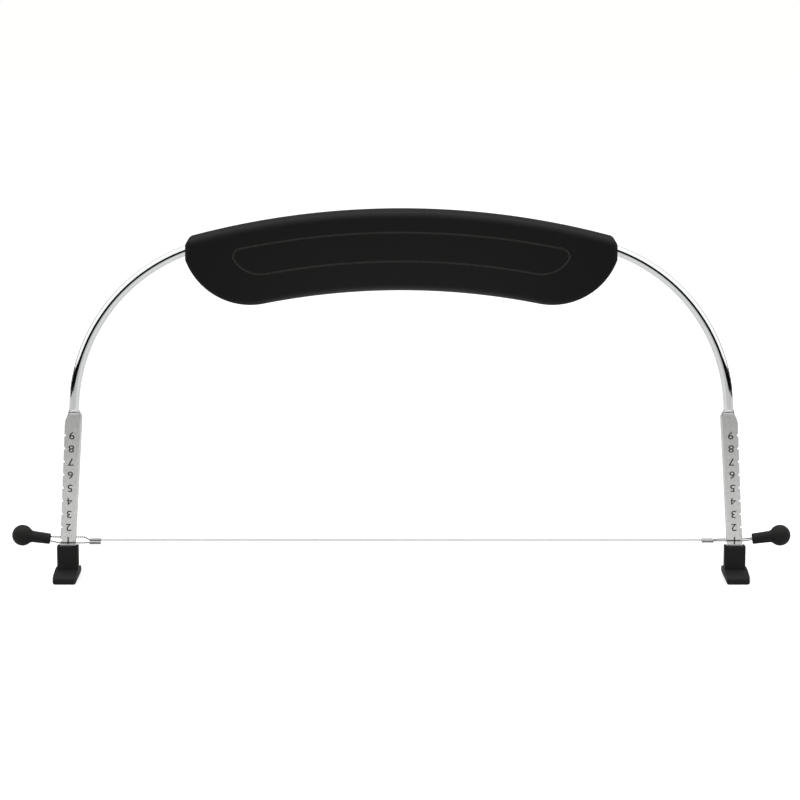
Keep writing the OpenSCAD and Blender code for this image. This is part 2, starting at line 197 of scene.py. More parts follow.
def tidy_skin(piece, merge=True):
    """Merges doubled vertices and points every face outwards."""
    edit(piece)
    bpy.ops.mesh.select_all(action="SELECT")
    if merge:
        bpy.ops.mesh.remove_doubles(threshold=DOUBLED)
    bpy.ops.mesh.normals_make_consistent(inside=False)
    clear_selection()


def smooth(piece, angle=30):
    """Smooth shading that keeps edges sharper than the angle crisp."""
    take_up(piece)
    bpy.ops.object.shade_smooth_by_angle(angle=math.radians(angle))


def stand_in(piece, node, body, slot, *finishes):
    """Gives a piece its finishes, and lets it ride on its body in place of its CAD node."""
    face_finish = [face.material_index for face in piece.data.polygons]
    piece.data.materials.clear()
    for coat in finishes:
        piece.data.materials.append(coat)
    piece.data.polygons.foreach_set("material_index", face_finish)
    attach(piece, body)
    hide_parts(node)
    print(f"{piece.name}: {len(piece.data.polygons)} faces, stands for {node}")


# %% [markdown]
# ## Finishes
# The rod is brightly plated. Its pressed legs are satin, with a painted dark line across the
# die's step for its shade and dark reflection, and dark floors in the stamped numbers. The grip
# is black moulded plastic whose groove is painted lighter, a painted highlight, and the feet and
# knobs are black rubber. The span is drawn stainless wire, the eyes are painted darker for their
# shadow and dark reflection where they cross the legs, and the sleeves are dull from the
# crimping tool. Each finish is a small
# node tree on Object coordinates, which stay with the piece when it moves. Noise moves the
# roughness and the height a little, because no real surface is the same all over.

# %% A finish from noise
BROAD_GRAIN = 60.0  # the noise that moves the roughness, in its scale per metre


def finish(name, colour, roughness, metal=0.0, specular=0.5, spread=0.05, grain=800.0,
           stretch=(1, 1, 1), bump=0.1, depth=0.02, tint=0.15):
    """A surface whose colour, roughness and height vary with noise.

    spread: how far the roughness moves; grain: the noise's scale, per metre; stretch: the
    noise's scale along each axis; bump and depth (mm): its height; tint: the colour's range.
    """
    material = bpy.data.materials.new(name)
    material.use_nodes = True
    nodes, links = material.node_tree.nodes, material.node_tree.links
    shader = nodes["Principled BSDF"]
    shader.inputs["Metallic"].default_value = metal
    shader.inputs["Specular IOR Level"].default_value = specular
    place = nodes.new("ShaderNodeTexCoord")
    mapping = nodes.new("ShaderNodeMapping")
    mapping.inputs["Scale"].default_value = stretch
    links.new(place.outputs["Object"], mapping.inputs["Vector"])

    fine = nodes.new("ShaderNodeTexNoise")
    fine.inputs["Scale"].default_value = grain
    fine.inputs["Detail"].default_value = 4.0
    links.new(mapping.outputs["Vector"], fine.inputs["Vector"])
    broad = nodes.new("ShaderNodeTexNoise")
    broad.inputs["Scale"].default_value = BROAD_GRAIN
    broad.inputs["Detail"].default_value = 3.0
    links.new(place.outputs["Object"], broad.inputs["Vector"])

    shade = nodes.new("ShaderNodeMapRange")
    shade.inputs["To Min"].default_value = roughness - spread
    shade.inputs["To Max"].default_value = roughness + spread
    links.new(broad.outputs["Fac"], shade.inputs["Value"])
    links.new(shade.outputs["Result"], shader.inputs["Roughness"])

    ramp = nodes.new("ShaderNodeValToRGB")
    dark = [c * (1 - tint) for c in colour]
    light = [min(1.0, c * (1 + tint)) for c in colour]
    ramp.color_ramp.elements[0].position = 0.3
    ramp.color_ramp.elements[0].color = (*dark, 1)
    ramp.color_ramp.elements[1].position = 0.7
    ramp.color_ramp.elements[1].color = (*light, 1)
    links.new(fine.outputs["Fac"], ramp.inputs["Fac"])
    links.new(ramp.outputs["Color"], shader.inputs["Base Color"])

    height = nodes.new("ShaderNodeBump")
    height.inputs["Strength"].default_value = bump
    height.inputs["Distance"].default_value = depth * MM
    links.new(fine.outputs["Fac"], height.inputs["Height"])
    links.new(height.outputs["Normal"], shader.inputs["Normal"])
    return material


# %% The tool's finishes
chrome = finish("bright_plating", (0.80, 0.81, 0.82), 0.07, metal=1.0, spread=0.03,
                grain=900, bump=0.04, depth=0.01, tint=0.02)
satin = finish("pressed_satin_steel", (0.75, 0.75, 0.745), 0.30, metal=1.0, spread=0.06,
               grain=1500, stretch=(1, 1, 0.5), bump=0.4, depth=0.025, tint=0.10)
# Painted shade: a dark line across the die's step, for its shade and dark reflection.
die_step_shade_paint = finish("painted_shade_at_die_step", (0.11, 0.11, 0.105), 0.42, metal=1.0, spread=0.08,
                    grain=2500, bump=0.3, depth=0.02, tint=0.35)
stamp = finish("stamped_number_floor", (0.055, 0.055, 0.055), 0.6, metal=0.4, grain=4000,
               bump=0.3, depth=0.03, tint=0.3)
plastic = finish("black_moulded_plastic", (0.0042, 0.0042, 0.004), 0.72, specular=0.16,
                 spread=0.05, grain=2600, bump=0.25, depth=0.02, tint=0.12)
# Painted highlight: the groove is coloured lighter than the grip, for the light that its lower
# flank catches.
groove_highlight_paint = finish("painted_highlight_in_the_groove", (0.036, 0.033, 0.029), 0.8, specular=0.2,
                     spread=0.05, grain=1800, bump=0.2, depth=0.02, tint=0.3)
rubber = finish("black_rubber", (0.009, 0.009, 0.0086), 0.68, specular=0.2, spread=0.06,
                grain=2200, bump=0.35, depth=0.03, tint=0.25)
drawn = finish("drawn_stainless_wire", (0.34, 0.34, 0.335), 0.20, metal=1.0, spread=0.05,
               grain=5000, stretch=(0.2, 1, 1), bump=0.15, depth=0.005, tint=0.08)
# Painted shade: the eyes' wire is darker than the span, for its shadow and dark reflection where
# it crosses the legs.
eye_wire_shade_paint = finish("eye_wire_painted_shade", (0.085, 0.085, 0.083), 0.24, metal=1.0, spread=0.08,
                grain=5000, stretch=(0.2, 1, 1), bump=0.2, depth=0.005, tint=0.3)
crimped = finish("crimped_sleeve_metal", (0.30, 0.30, 0.30), 0.34, metal=1.0, spread=0.08,
                 grain=3000, stretch=(0.3, 1, 1), bump=0.25, depth=0.01, tint=0.1)
print("finishes:", len(bpy.data.materials))

# %% [markdown]
# ## The bow's line
# The bow is one rod: a flat crown inside the grip, a tighter bend at each side, and straight
# legs that lean out a little. All its arcs touch, so the centre of the bend follows from the
# crown, the bend's radius and the leg's line, as in the CAD source.

# %% Work out the bow's line
ROD_D = 4 * MM
CUT_WIDTH = 254 * MM
SPLAY = math.radians(3.5)
BOW_RISE = 137.8 * MM
CROWN_R = 470 * MM
BEND_R = 67.3 * MM
BLADE_TOP_W = 6.9 * MM
BLADE_TIP_W = 6.1 * MM
BLADE_T = 1.5 * MM
FLAT_Z = 61 * MM
TIP_Z = 2.2 * MM
NOTCH_Z = 15.4 * MM
NOTCH_PITCH = 5.2 * MM
NOTCHES = 9


def half_w(z):
    """Half of the blade's width at a height."""
    return (BLADE_TIP_W + (BLADE_TOP_W - BLADE_TIP_W) * (z - TIP_Z) / (FLAT_Z - TIP_Z)) / 2


def leg_x(z):
    """The middle of the right leg at a height."""
    at_notch = CUT_WIDTH / 2 + half_w(NOTCH_Z) / math.cos(SPLAY)
    return at_notch + (NOTCH_Z - z) * math.tan(SPLAY)


crown_cz = BOW_RISE - CROWN_R
reach = leg_x(0) * math.cos(SPLAY) - BEND_R - crown_cz * math.sin(SPLAY)
climb = math.sqrt((CROWN_R - BEND_R) ** 2 - reach**2)
bend_cx = reach * math.cos(SPLAY) - climb * math.sin(SPLAY)
bend_cz = crown_cz + reach * math.sin(SPLAY) + climb * math.cos(SPLAY)
crown_a = math.atan2(bend_cx, bend_cz - crown_cz)
leg_top = Vector((bend_cx + BEND_R * math.cos(SPLAY), 0, bend_cz + BEND_R * math.sin(SPLAY)))
print("bend centre in mm:", round(bend_cx / MM, 2), round(bend_cz / MM, 2))

# %% [markdown]
# ## Bending the rod
# A circle that is spun about the middle of an arc sweeps out a bent rod, just as a bending
# machine turns a straight one. Only the right half is made; a mirror gives the left half. A
# curve with a round bevel would be quicker, but its rings couldn't be pressed flat below.

# %% Spin the crown and the bend


def spin_rod(name, radius):
    """Right half of a round rod along the crown and the bend; its end ring stays selected."""
    bpy.ops.mesh.primitive_circle_add(vertices=40, radius=radius, location=(0, 0, BOW_RISE),
                                      rotation=(0, math.pi / 2, 0))
    rod = started(name)
    edit(rod)
    bpy.ops.mesh.select_all(action="SELECT")
    bpy.ops.mesh.spin(steps=20, angle=-crown_a, center=(0, 0, crown_cz), axis=(0, 1, 0))
    bpy.ops.mesh.spin(steps=36, angle=-(math.pi / 2 - crown_a - SPLAY),
                      center=(bend_cx, 0, bend_cz), axis=(0, 1, 0))
    return rod


bow = spin_rod("bow_rod", ROD_D / 2)
print("end of the bend in mm:", [round(c / MM, 2) for c in centre_of_picked()],
      "leg starts at:", [round(c / MM, 2) for c in leg_top])

# %% [markdown]
# ## Pressing the legs flat
# Flat dies squeeze the rod's ends into blades. The dies leave a steep step across the front
# and the back, and the metal that they push aside makes the shoulders: a long round one on
# the outer side and a short one on the inner side. Each ring of the rod is extruded down the
# leg and laid on its pressed outline, from round to flat. The inner edge keeps more of the
# rod's roundness, which shows as a strip of another grey along the leg. A narrow dark line is
# painted across the top of the blade at the die's step, as painted shade and a painted dark
# reflection.

# %% Press the right leg
LEG_SIDE = Vector((math.cos(SPLAY), 0, math.sin(SPLAY)))
INNER_SWELL = 1.15 * MM
# The height, outer half width, inner half width and thickness of each ring, in mm.
PRESSED_RINGS = (
    (67.6, 2.00, 2.00, 4.0),
    (67.0, 2.02, 2.08, 3.9),
    (66.7, 2.05, 2.18, 3.6),
    (66.4, 2.09, 2.40, 2.9),
    (66.2, 2.12, 2.72, 1.8),
    (66.0, 2.16, 2.95, 1.6),
    (65.8, 2.20, 3.12, 1.52),
    (65.3, 2.36, 3.36, 1.5),
    (64.6, 2.62, 3.43, 1.5),
    (63.4, 3.04, 3.44, 1.5),
    (62.2, 3.33, 3.44, 1.5),
    (61.0, 3.44, 3.44, 1.5),
)


def press_ring(centre, z, outer, inner, thick):
    """Extrudes the ring from its centre down to a height, presses it to its outer and inner
    half width and to its thickness, and returns its new centre."""
    middle = Vector((leg_x(z), 0, z))
    extrude(*(middle - centre))
    mesh = bpy.context.object.data
    shape = bmesh.from_edit_mesh(mesh)
    for vert, turn in zip([v for v in shape.verts if v.select], ring_turns):
        outside = math.cos(turn) > 0
        across = math.cos(turn) * (outer if outside else inner)
        swell = max(thick / 2, ROD_D / 2 if outside else INNER_SWELL)
        deep = max(-thick / 2, min(thick / 2, math.sin(turn) * swell))
        vert.co = middle + across * LEG_SIDE + Vector((0, deep, 0))
    bmesh.update_edit_mesh(mesh)
    return middle


ring = [v.co.copy() for v in bmesh.from_edit_mesh(bow.data).verts if v.select]
centre = centre_of_picked()
ring_turns = [math.atan2(c.y, (c - centre).dot(LEG_SIDE)) for c in ring]
for z, outer, inner, thick in PRESSED_RINGS:
    centre = press_ring(centre, z * MM, outer * MM, inner * MM, thick * MM)
press_ring(centre, TIP_Z, half_w(TIP_Z), half_w(TIP_Z), BLADE_T)
bpy.ops.mesh.edge_face_add()
clear_selection()
print("bow, right half:", len(bow.data.vertices), "vertices")

# %% [markdown]
# ## Notches
# Nine small round notches in the outer edge of each leg hold the wire at its height. They
# are cut in the whole, closed bow. The manifold solver does it, because the exact one gives
# another result in some runs.

# %% Mirror the bow and cut the notches
NOTCH_R = 0.6 * MM
NOTCH_DEPTH = 0.7 * MM
mirror_halves(bow)
tidy_skin(bow)
cutters = []
for side in (-1, 1):
    for i in range(NOTCHES):
        z = NOTCH_Z + i * NOTCH_PITCH
        mouth = leg_x(z) + half_w(z) / math.cos(SPLAY) - NOTCH_DEPTH + NOTCH_R
        bpy.ops.mesh.primitive_cylinder_add(
            vertices=24, radius=NOTCH_R, depth=4 * BLADE_T, location=(side * mouth, 0, z),
            rotation=(math.pi / 2, 0, 0))
        cutters.append(started(f"notch_cutter_{side}_{i}"))
cut(bow, joined("notch_cutters", cutters), solver="MANIFOLD")
print("bow:", len(bow.data.polygons), "faces")

# %% [markdown]
# ## Stamped numbers
# A number from 1 to 9 is stamped beside each notch. They read the right way up when the tool
# is held by its legs, so in this view they stand on their heads. Text becomes a mesh, and the
# mesh is cut into the front face. The boolean carries the cutter's dark finish to the floor
# of each stamp.

# %% Stamp the numbers
DIGIT_SIZE = 4.1 * MM
DIGIT_WIDEN = 1.17
DIGIT_LIFT = 0.1 * MM
DIGIT_DRIFT = 0.045 * MM  # outwards from each number to the next
STAMP_DEPTH = 0.16 * MM
STROKE_SWELL = 0.033 * MM  # not for the 4, whose small eye would close
numbers = []
for side in (-1, 1):
    for i in range(NOTCHES):
        z = NOTCH_Z + i * NOTCH_PITCH + DIGIT_LIFT
        x = side * (leg_x(z) + i * DIGIT_DRIFT)
        bpy.ops.object.text_add()
        text = bpy.context.object
        text.data.body = str(i + 1)
        text.data.size = DIGIT_SIZE
        text.data.align_x = "CENTER"
        text.data.align_y = "CENTER"
        text.data.extrude = STAMP_DEPTH
        text.data.offset = 0 if i == 3 else STROKE_SWELL
        text.data.resolution_u = 4
        take_up(text)
        bpy.ops.object.convert(target="MESH")
        text.rotation_euler = (math.pi / 2, math.pi, 0)
        text.scale.x = DIGIT_WIDEN
        text.location = (x, -BLADE_T / 2, z)
        numbers.append(settle(text))
stamps = joined("number_stamps", numbers)
tidy_skin(stamps)
stamps.data.materials.append(stamp)
bow.data.materials.clear()
for metal in (chrome, satin):
    bow.data.materials.append(metal)
cut(bow, stamps, materials="TRANSFER", solver="MANIFOLD")
print("bow finishes:", [m.name for m in bow.data.materials])

# %% Give the rod and the legs their finishes
# Faces between the die's step and the satin leg get the painted shade, a dark line for the
# step's shade and dark reflection.
ROD_SLOT, LEG_SLOT, SHADE_LINE_SLOT = 0, 1, 3
SHOULDER_Z = 66.4 * MM
SHADE_LINE_LOW_Z = 66 * MM
stamp_index = [m.name for m in bow.data.materials].index(stamp.name)
for face in bow.data.polygons:
    if face.material_index != stamp_index:
        z = face.center.z
        face.material_index = (ROD_SLOT if z > SHOULDER_Z else
                               SHADE_LINE_SLOT if z > SHADE_LINE_LOW_Z else LEG_SLOT)
smooth(bow, 32)
stand_in(bow, "bow_frame", "frame", "bow_steel", chrome, satin, stamp, die_step_shade_paint)
print("stamped faces:", sum(face.material_index == stamp_index for face in bow.data.polygons))

# %% [markdown]
# ## The grip's outline
# From the front the grip is a bean: a long arc on top, a hollow arc below for the fingers, a
# round lobe at each lower end and a small round at each upper corner. One vertex that is spun
# about the centre of each arc draws the right half, and a mirror closes it. The panel on the
# grip's face is a smaller bean about the same centres.

# %% Draw a bean
GRIP_HALF = 82.7 * MM
GRIP_TOP_Z = 144.8 * MM
GRIP_H = 30 * MM
GRIP_TOP_R = 315 * MM
GRIP_UNDER_R = 270 * MM
GRIP_LOBE_R = 26.4 * MM
GRIP_END_CUT = 1.6 * MM
GRIP_CORNER_R = 2.8 * MM
top_cz = GRIP_TOP_Z - GRIP_TOP_R
under_cz = GRIP_TOP_Z - GRIP_H - GRIP_UNDER_R


def draw_bean(name, y, half, top, under, lobe, end_cut, corner):
    """A closed bean outline at a depth y, from the radii of its arcs."""
    kx = half - corner
    kz = top_cz + math.sqrt((top - corner) ** 2 - kx**2)
    top_a = math.atan2(kx, kz - top_cz)
    lx = half + end_cut - lobe
    lz = under_cz + math.sqrt((under + lobe) ** 2 - lx**2)
    under_a = math.atan2(lx, lz - under_cz)
    end_a = math.acos(min(1, (half - lx) / lobe))
    bpy.ops.mesh.primitive_plane_add(size=MM, location=(0, y, top_cz + top))
    bean = started(name)
    edit(bean)
    bpy.ops.mesh.select_all(action="SELECT")
    bpy.ops.mesh.merge(type="CENTER")
    for turn, cx, cz, steps in ((top_a, 0, top_cz, 40), (math.pi / 2 - top_a, kx, kz, 10)):
        bpy.ops.mesh.spin(steps=steps, angle=-turn, center=(cx, y, cz), axis=(0, 1, 0))
    extrude(0, 0, lz - lobe * math.sin(end_a) - kz)
    for turn, cx, cz, steps in ((math.pi / 2 + under_a - end_a, lx, lz, 20),
                                (-under_a, 0, under_cz, 36)):
        bpy.ops.mesh.spin(steps=steps, angle=-turn, center=(cx, y, cz), axis=(0, 1, 0))
    clear_selection()
    mirror_halves(bean)
    return bean


# %% [markdown]
# ## Moulding the shells
# The grip is moulded as two shells that meet over the rod. Each outline is filled, extruded to
# half of the grip's depth and rounded along its rim. An inset and a push inwards then hollow
# it from the joint. The ribs that cradle the rod and the bosses of the locating pins are
# joined on, and the rod's seat and the panel's groove are cut with a thicker rod and a thin
# tube. The groove is round, so its lower half catches the light from above.
# The tube paints the groove lighter than the grip, a painted highlight for that light.

# %% Model the ribs and bosses
GRIP_DEPTH = 20 * MM
GRIP_WALL = 2.2 * MM
RIB_GAP = 28 * MM
RIB_T = 1.6 * MM
PIN_R = 1.5 * MM
PIN_GRIP = 4 * MM
PIN_RISE = 9 * MM
MOULD_FIT = 0.05 * MM


def arc_z(centre, radius, x):
    """The height of a long arc at x."""
    return centre + math.sqrt(radius**2 - x**2)


pin_places = [(x, arc_z(under_cz, GRIP_UNDER_R + PIN_RISE, x))
              for x in (share * GRIP_HALF for share in (-0.75, -0.25, 0.25, 0.75))]


def peg(radius, x, z, near, far):
    """A round peg along Y between two depths."""
    bpy.ops.mesh.primitive_cylinder_add(vertices=32, radius=radius, depth=abs(far - near),
                                        location=(x, (near + far) / 2, z),
                                        rotation=(math.pi / 2, 0, 0))
    return started("peg")


def inner_parts(side):
    """The ribs and bosses inside a shell, one mesh."""
    floor_y = side * (GRIP_DEPTH / 2 - GRIP_WALL / 2)
    parts = [peg(2 * PIN_R, x, z, side * MOULD_FIT, floor_y) for x, z in pin_places]
    for i in range(-2, 3):
        x = i * RIB_GAP
        low = arc_z(under_cz, GRIP_UNDER_R, x) + GRIP_WALL / 2
        high = arc_z(top_cz, GRIP_TOP_R, x) - GRIP_WALL / 2
        bpy.ops.mesh.primitive_cube_add(
            size=1, location=(x, (side * MOULD_FIT + floor_y) / 2, (low + high) / 2),
            scale=(RIB_T, abs(floor_y) - MOULD_FIT, high - low))
        parts.append(started("rib"))
    return joined("inner_parts", parts)


# %% Model the cutters of the seat and the groove
PANEL_HALF = 64.2 * MM
PANEL_BELOW_TOP = 7.5 * MM
PANEL_ABOVE_UNDER = 11.4 * MM
PANEL_LOBE_R = 12 * MM
PANEL_END_CUT = 1.5 * MM
PANEL_CORNER_R = 3.3 * MM
GROOVE_R = 0.37 * MM
GROOVE_OUT = 0.05 * MM


def rod_seat():
    """A capped rod, thicker than the bow by the fit, that cuts the seat."""
    seat = spin_rod("seat_cutter", ROD_D / 2 + MOULD_FIT)
    bpy.ops.mesh.edge_face_add()
    clear_selection()
    mirror_halves(seat)
    tidy_skin(seat)
    return seat


def panel_groove(side):
    """A thin tube along the panel's outline, with its middle just in front of the face."""
    groove = draw_bean("groove_cutter", side * (GRIP_DEPTH / 2 + GROOVE_OUT), PANEL_HALF,
                       GRIP_TOP_R - PANEL_BELOW_TOP, GRIP_UNDER_R + PANEL_ABOVE_UNDER,
                       PANEL_LOBE_R, PANEL_END_CUT, PANEL_CORNER_R)
    take_up(groove)
    bpy.ops.object.convert(target="CURVE")
    groove.data.bevel_depth = GROOVE_R
    groove.data.bevel_resolution = 2
    bpy.ops.object.convert(target="MESH")
    tidy_skin(groove)
    # The groove gets a lighter colour than the grip: a painted highlight.
    groove.data.materials.append(groove_highlight_paint)
    return groove


# %% Mould both shells
EDGE_R = 2.5 * MM
JOINT_BEVEL = 0.12 * MM
FACE_INSET = 0.12 * MM


def mould_shell(name, side):
    """The front shell (side -1) or the rear shell (side 1)."""
    shell = draw_bean(name, 0, GRIP_HALF, GRIP_TOP_R, GRIP_UNDER_R, GRIP_LOBE_R, GRIP_END_CUT,
                      GRIP_CORNER_R)
    edit(shell)
    bpy.ops.mesh.select_all(action="SELECT")
    bpy.ops.mesh.edge_face_add()
    extrude(0, side * GRIP_DEPTH / 2, 0)
    pick_edges(lambda a, b: min(abs(a.y), abs(b.y)) > GRIP_DEPTH / 2 - HAIR)
    bpy.ops.mesh.bevel(offset=EDGE_R, segments=8, profile=0.5, clamp_overlap=False)
    pick_edges(lambda a, b: max(abs(a.y), abs(b.y)) < HAIR)
    bpy.ops.mesh.bevel(offset=JOINT_BEVEL, segments=1)
    pick_faces(lambda c, n: abs(n.y) > 0.999 and abs(c.y) > GRIP_DEPTH / 2 - HAIR)
    bpy.ops.mesh.inset(thickness=FACE_INSET, depth=0)
    pick_faces(lambda c, n: abs(n.y) > 0.999 and abs(c.y) < HAIR)
    bpy.ops.mesh.inset(thickness=GRIP_WALL, depth=0)
    extrude(0, side * (GRIP_DEPTH / 2 - GRIP_WALL), 0)
    tidy_skin(shell)
    shell.data.materials.append(plastic)
    cut(shell, inner_parts(side), "UNION")
    cut(shell, rod_seat())
    cut(shell, panel_groove(side), materials="TRANSFER")
    if side < 0:
        for x, z in pin_places:
            cut(shell, peg(PIN_R + MOULD_FIT, x, z, MM, -PIN_GRIP - MOULD_FIT))
    else:
        for x, z in pin_places:
            cut(shell, peg(PIN_R, x, z, -PIN_GRIP, PIN_GRIP), "UNION")
    smooth(shell, 30)
    return shell


front_shell = mould_shell("grip_front_shell", -1)
stand_in(front_shell, "handle_front", "frame", "grip_plastic", plastic, groove_highlight_paint)
rear_shell = mould_shell("grip_rear_shell", 1)
stand_in(rear_shell, "handle_rear", "frame", "grip_plastic", plastic, groove_highlight_paint)

# %% [markdown]
# ## Rubber feet
# Each leg is pushed into a rubber foot: a long sole that slopes up to a block. Bevels give a
# box its round noses and its rounded lower sides. Bisecting it gives the edges where the
# slopes and the block begin, the middle is raised and extruded, and the socket is an inset
# pushed down along the leg. A last bevel, which short edges hold to a few micrometres,
# softens the shading. Its vertices aren't merged, because that gives other faces each run.

# %% Shape the feet
FOOT_H = 13.1 * MM
BLOCK_W = 8.4 * MM
BLOCK_D = 5.4 * MM
SOLE_W = 9 * MM
SOLE_LEN = 22 * MM
SOLE_EDGE = 3.2 * MM
SOLE_MID = 4.1 * MM
NOSE_R = 2.2 * MM
SOLE_SIDE_R = 1 * MM
BLOCK_TRIM = 0.4 * MM
BLOCK_CORNER_R = 0.8 * MM
SOCKET_RIM = 0.95 * MM
SOCKET_SQUEEZE = 0.6
SOCKET_DEPTH = 8 * MM
FOOT_EDGE_R = 0.55 * MM


def bisect(place, normal):
    """Cuts new edges through the whole piece on a plane."""
    bpy.ops.mesh.select_all(action="SELECT")
    bpy.ops.mesh.bisect(plane_co=place, plane_no=normal)


def mirrored(piece, name):
    """A copy on the other side of the tool, with its own mesh."""
    take_up(piece)
    bpy.ops.object.duplicate()
    twin = bpy.context.object
    twin.scale.x = -1
    twin.name = name
    twin.data.name = name
    settle(twin)
    tidy_skin(twin, merge=False)
    return twin


block_x = leg_x(FOOT_H)
sole_x = leg_x(SOLE_MID)
bpy.ops.mesh.primitive_cube_add(size=1, location=(sole_x, 0, SOLE_EDGE / 2),
                                scale=(SOLE_W, SOLE_LEN, SOLE_EDGE))
right_shoe = started("right_rubber_foot")
edit(right_shoe)
pick_edges(lambda a, b: min(a.z, b.z) > SOLE_EDGE - HAIR and abs(a.y - b.y) < HAIR)
bpy.ops.mesh.bevel(offset=NOSE_R, segments=7)
pick_edges(lambda a, b: max(a.z, b.z) < HAIR and abs(a.x - b.x) < HAIR)
bpy.ops.mesh.bevel(offset=SOLE_SIDE_R, segments=5)
bisect((0, BLOCK_D / 2, 0), (0, 1, 0))
bisect((0, -BLOCK_D / 2, 0), (0, 1, 0))
pick_verts(lambda c: c.z > SOLE_EDGE / 2 and abs(c.y) < BLOCK_D / 2 + HAIR)
bpy.ops.transform.translate(value=(0, 0, SOLE_MID - SOLE_EDGE))
bisect((block_x + BLOCK_W / 2, 0, 0), (1, 0, 0))
bisect((block_x - BLOCK_W / 2 + BLOCK_TRIM, 0, 0), (1, 0, 0))
pick_faces(lambda c, n: (n.z > 0.99 and abs(c.y) < BLOCK_D / 2
                         and abs(c.x - block_x) < BLOCK_W / 2))
extrude(0, 0, FOOT_H - SOLE_MID)
pick_edges(lambda a, b: upright(a, b) and max(a.z, b.z) > FOOT_H - HAIR)
bpy.ops.mesh.bevel(offset=BLOCK_CORNER_R, segments=4)
pick_faces(lambda c, n: n.z > 0.99 and c.z > FOOT_H - HAIR)
bpy.ops.mesh.inset(thickness=SOCKET_RIM, depth=0)
bpy.ops.transform.resize(value=(1, SOCKET_SQUEEZE, 1))
extrude(SOCKET_DEPTH * math.tan(SPLAY), 0, -SOCKET_DEPTH)
clear_selection()
apply_modifier(right_shoe, "BEVEL", width=FOOT_EDGE_R, segments=4, limit_method="ANGLE",
               angle_limit=math.radians(25))
left_shoe = mirrored(right_shoe, "left_rubber_foot")
for shoe, node in ((right_shoe, "right_foot"), (left_shoe, "left_foot")):
    smooth(shoe, 35)
    stand_in(shoe, node, "frame", "foot_rubber", rubber)

# %% [markdown]
# ## Twisted wire
# The cutting wire is two fine strands twisted together, and the twist is what saws through the
# cake. A screw modifier winds two small circles about the X axis. The same wire makes the eye
# round each leg: there a curve modifier bends a straight length along the eye's path.

# %% Twist two strands
TWIST = 1.6 * MM
WIRE_D = 0.6 * MM
STRAND_D = 0.55 * MM
LEFT_TURN = math.radians(40)
RIGHT_TURN = math.radians(5)
FERRULE_LEN = 4.4 * MM
CRIMP_LEN = 1.9 * MM
BARREL_GAP = 1.3 * MM
SPREAD_LEN = 2.2 * MM
LEG_CLEAR = 0.2 * MM
NECK_OUT = 3.9 * MM


def twisted(name, length, across):
    """A straight twisted wire along X from the origin, as thick as two strands side by side."""
    circles = []
    for offset in (-across / 4, across / 4):
        bpy.ops.mesh.primitive_circle_add(vertices=8, radius=across / 4,
                                          location=(0, offset, 0), rotation=(0, math.pi / 2, 0))
        circles.append(started("strand"))
    wire = joined(name, circles)
    turns = round(length / TWIST)
    apply_modifier(wire, "SCREW", axis="X", angle=2 * math.pi, steps=12, render_steps=12,
                   iterations=turns, screw_offset=length / turns, use_merge_vertices=True,
                   merge_threshold=HAIR / 10)
    edit(wire)
    bpy.ops.mesh.select_all(action="SELECT")
    bpy.ops.mesh.fill_holes(sides=8)
    clear_selection()
    tidy_skin(wire)
    return wire


blade_side = half_w(NOTCH_Z) / math.cos(SPLAY)
wire_top_z = NOTCH_Z + (NOTCHES - 1) * NOTCH_PITCH
spread_x = leg_x(wire_top_z) - half_w(wire_top_z) / math.cos(SPLAY) - LEG_CLEAR
ferrule_x = spread_x - SPREAD_LEN
past_leg_x = leg_x(NOTCH_Z) + blade_side + LEG_CLEAR
neck_x = leg_x(NOTCH_Z) + blade_side + NECK_OUT
wire_end = ferrule_x - FERRULE_LEN + CRIMP_LEN
span = twisted("cutting_wire_span", 2 * wire_end, WIRE_D)
span.location = (-wire_end, 0, NOTCH_Z)
settle(span)
smooth(span, 60)
stand_in(span, "cutting_wire", "wire_set", "wire_steel", drawn)

# %% [markdown]
# ## Wire eyes
# Beyond the ferrule the wire parts to pass in front of and behind the leg, and turns round in
# the knob. The left eye lies turned about the wire by 40 degrees and the right one by 5, as
# they came to rest in the photo. The path's corners are rounded first, because a wire can't
# be kinked.

# %% Find places along the eye
KNOB_LIFT = math.radians(7.5)


def eye_point(x, v, turn):
    """A place on the flat part of the eye: v is the distance from the wire's line."""
    return Vector((x, v * math.cos(turn), NOTCH_Z + v * math.sin(turn)))


def knob_point(x, v, turn):
    """A place in the part of the eye that rises with the knob."""
    z = v * math.sin(turn)
    return Vector((past_leg_x + x * math.cos(KNOB_LIFT) - z * math.sin(KNOB_LIFT),
                   v * math.cos(turn),
                   NOTCH_Z + x * math.sin(KNOB_LIFT) + z * math.cos(KNOB_LIFT)))


def rounded(points, cut_at):
    """The path with each corner cut at a short distance and eased between the cuts."""
    path = [points[0]]
    for before, corner, after in zip(points, points[1:], points[2:]):
        back, ahead = before - corner, after - corner
        start = corner + back.normalized() * min(cut_at, back.length * 0.45)
        end = corner + ahead.normalized() * min(cut_at, ahead.length * 0.45)
        for t in (0, 0.25, 0.5, 0.75, 1):
            path.append(start * (1 - t) ** 2 + 2 * corner * t * (1 - t) + end * t**2)
    return path + [points[-1]]


# %% Bend the eyes
HAIRPIN_R = 1.05 * MM
HAIRPIN_LEN = 5.5 * MM
SLIDE_PLAY = 0.1 * MM
END_GAP = 0.04 * MM
CORNER_REACH = 0.45 * MM
NECK_SHARE = 0.8


